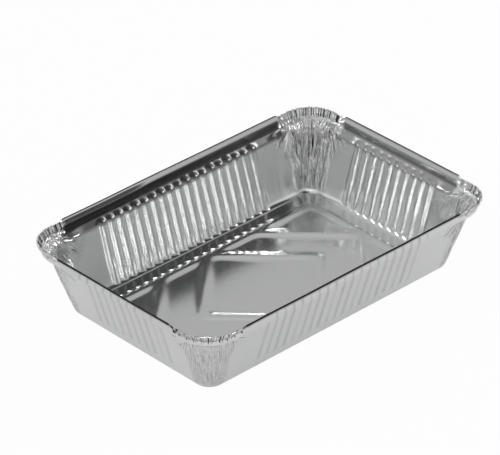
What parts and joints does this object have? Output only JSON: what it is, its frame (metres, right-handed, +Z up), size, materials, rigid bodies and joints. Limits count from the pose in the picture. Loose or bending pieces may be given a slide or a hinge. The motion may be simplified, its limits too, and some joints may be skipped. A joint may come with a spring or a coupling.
{
  "type": "aluminium foil tray",
  "caption": "Deep rectangular food tray pressed from one sheet of foil, with fluted leaning walls, pressed floor panels and a hemmed lip with crimped corners.",
  "frame": {"origin": "centre of the tray's underside, on the surface that it stands on", "axes": "+X along the long side, +Y along the short side, +Z up out of the tray's mouth"},
  "size_m": [0.32, 0.215, 0.067],
  "materials": {
    "foil": "bright rolled foil, lightly wrinkled"
  },
  "bodies": {
    "root": {"tray": "foil"}
  },
  "joints": []
}
